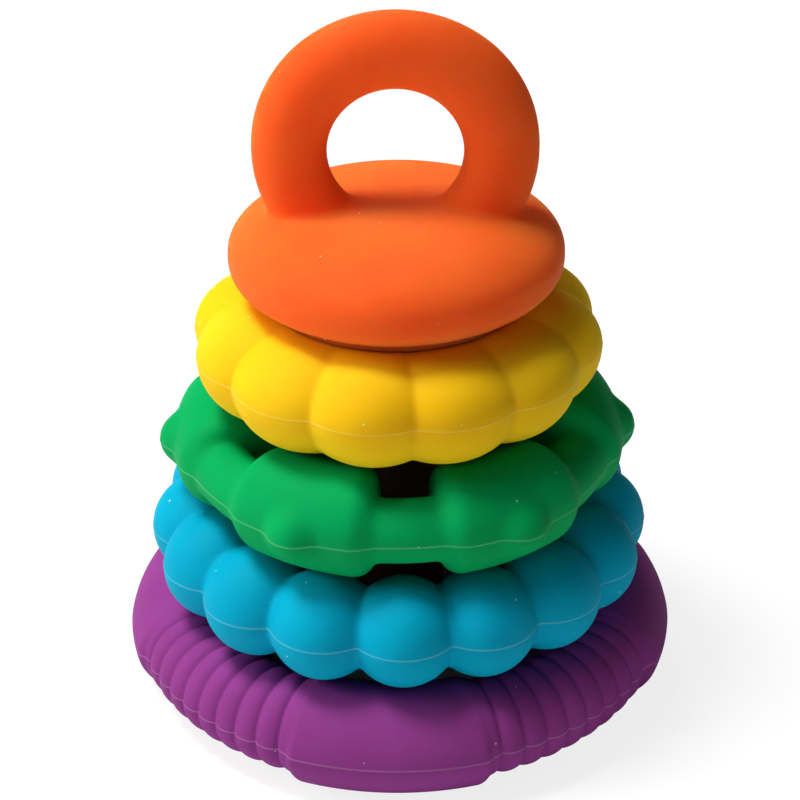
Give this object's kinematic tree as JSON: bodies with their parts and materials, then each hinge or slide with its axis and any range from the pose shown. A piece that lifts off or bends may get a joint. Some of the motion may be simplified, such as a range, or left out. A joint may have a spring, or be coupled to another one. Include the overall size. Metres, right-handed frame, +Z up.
{
  "type": "stacking ring toy",
  "caption": "Soft ring stacker: ribbed, beaded, knobbed and petalled rings in a cone, held by a cap with a loop handle and a stem.",
  "frame": {"origin": "centre of the stack at the level of the table it stands on", "axes": "+Z up along the stem; -Y to the front, square to the handle's flat; X along the handle's width"},
  "size_m": [0.1034, 0.1034, 0.1317],
  "materials": {
    "purple_silicone": "matte moulded silicone",
    "blue_silicone": "matte moulded silicone",
    "green_silicone": "matte moulded silicone",
    "yellow_silicone": "matte moulded silicone",
    "orange_silicone": "matte moulded silicone"
  },
  "bodies": {
    "base_ring": {"base_ring": "purple_silicone"},
    "bead_ring": {"bead_ring": "blue_silicone"},
    "knob_ring": {"knob_ring": "green_silicone"},
    "petal_ring": {"petal_ring": "yellow_silicone"},
    "handle_cap": {"handle_cap": "orange_silicone"}
  },
  "joints": [
    {"name": "bead_lift", "type": "slide", "parent": "base_ring", "child": "bead_ring", "axis": [0, 0, 1], "range_m": [0, 0.03]},
    {"name": "knob_lift", "type": "slide", "parent": "bead_ring", "child": "knob_ring", "axis": [0, 0, 1], "range_m": [0, 0.05]},
    {"name": "petal_lift", "type": "slide", "parent": "knob_ring", "child": "petal_ring", "axis": [0, 0, 1], "range_m": [0, 0.07]},
    {"name": "cap_lift", "type": "slide", "parent": "petal_ring", "child": "handle_cap", "axis": [0, 0, 1], "range_m": [0, 0.09]}
  ]
}
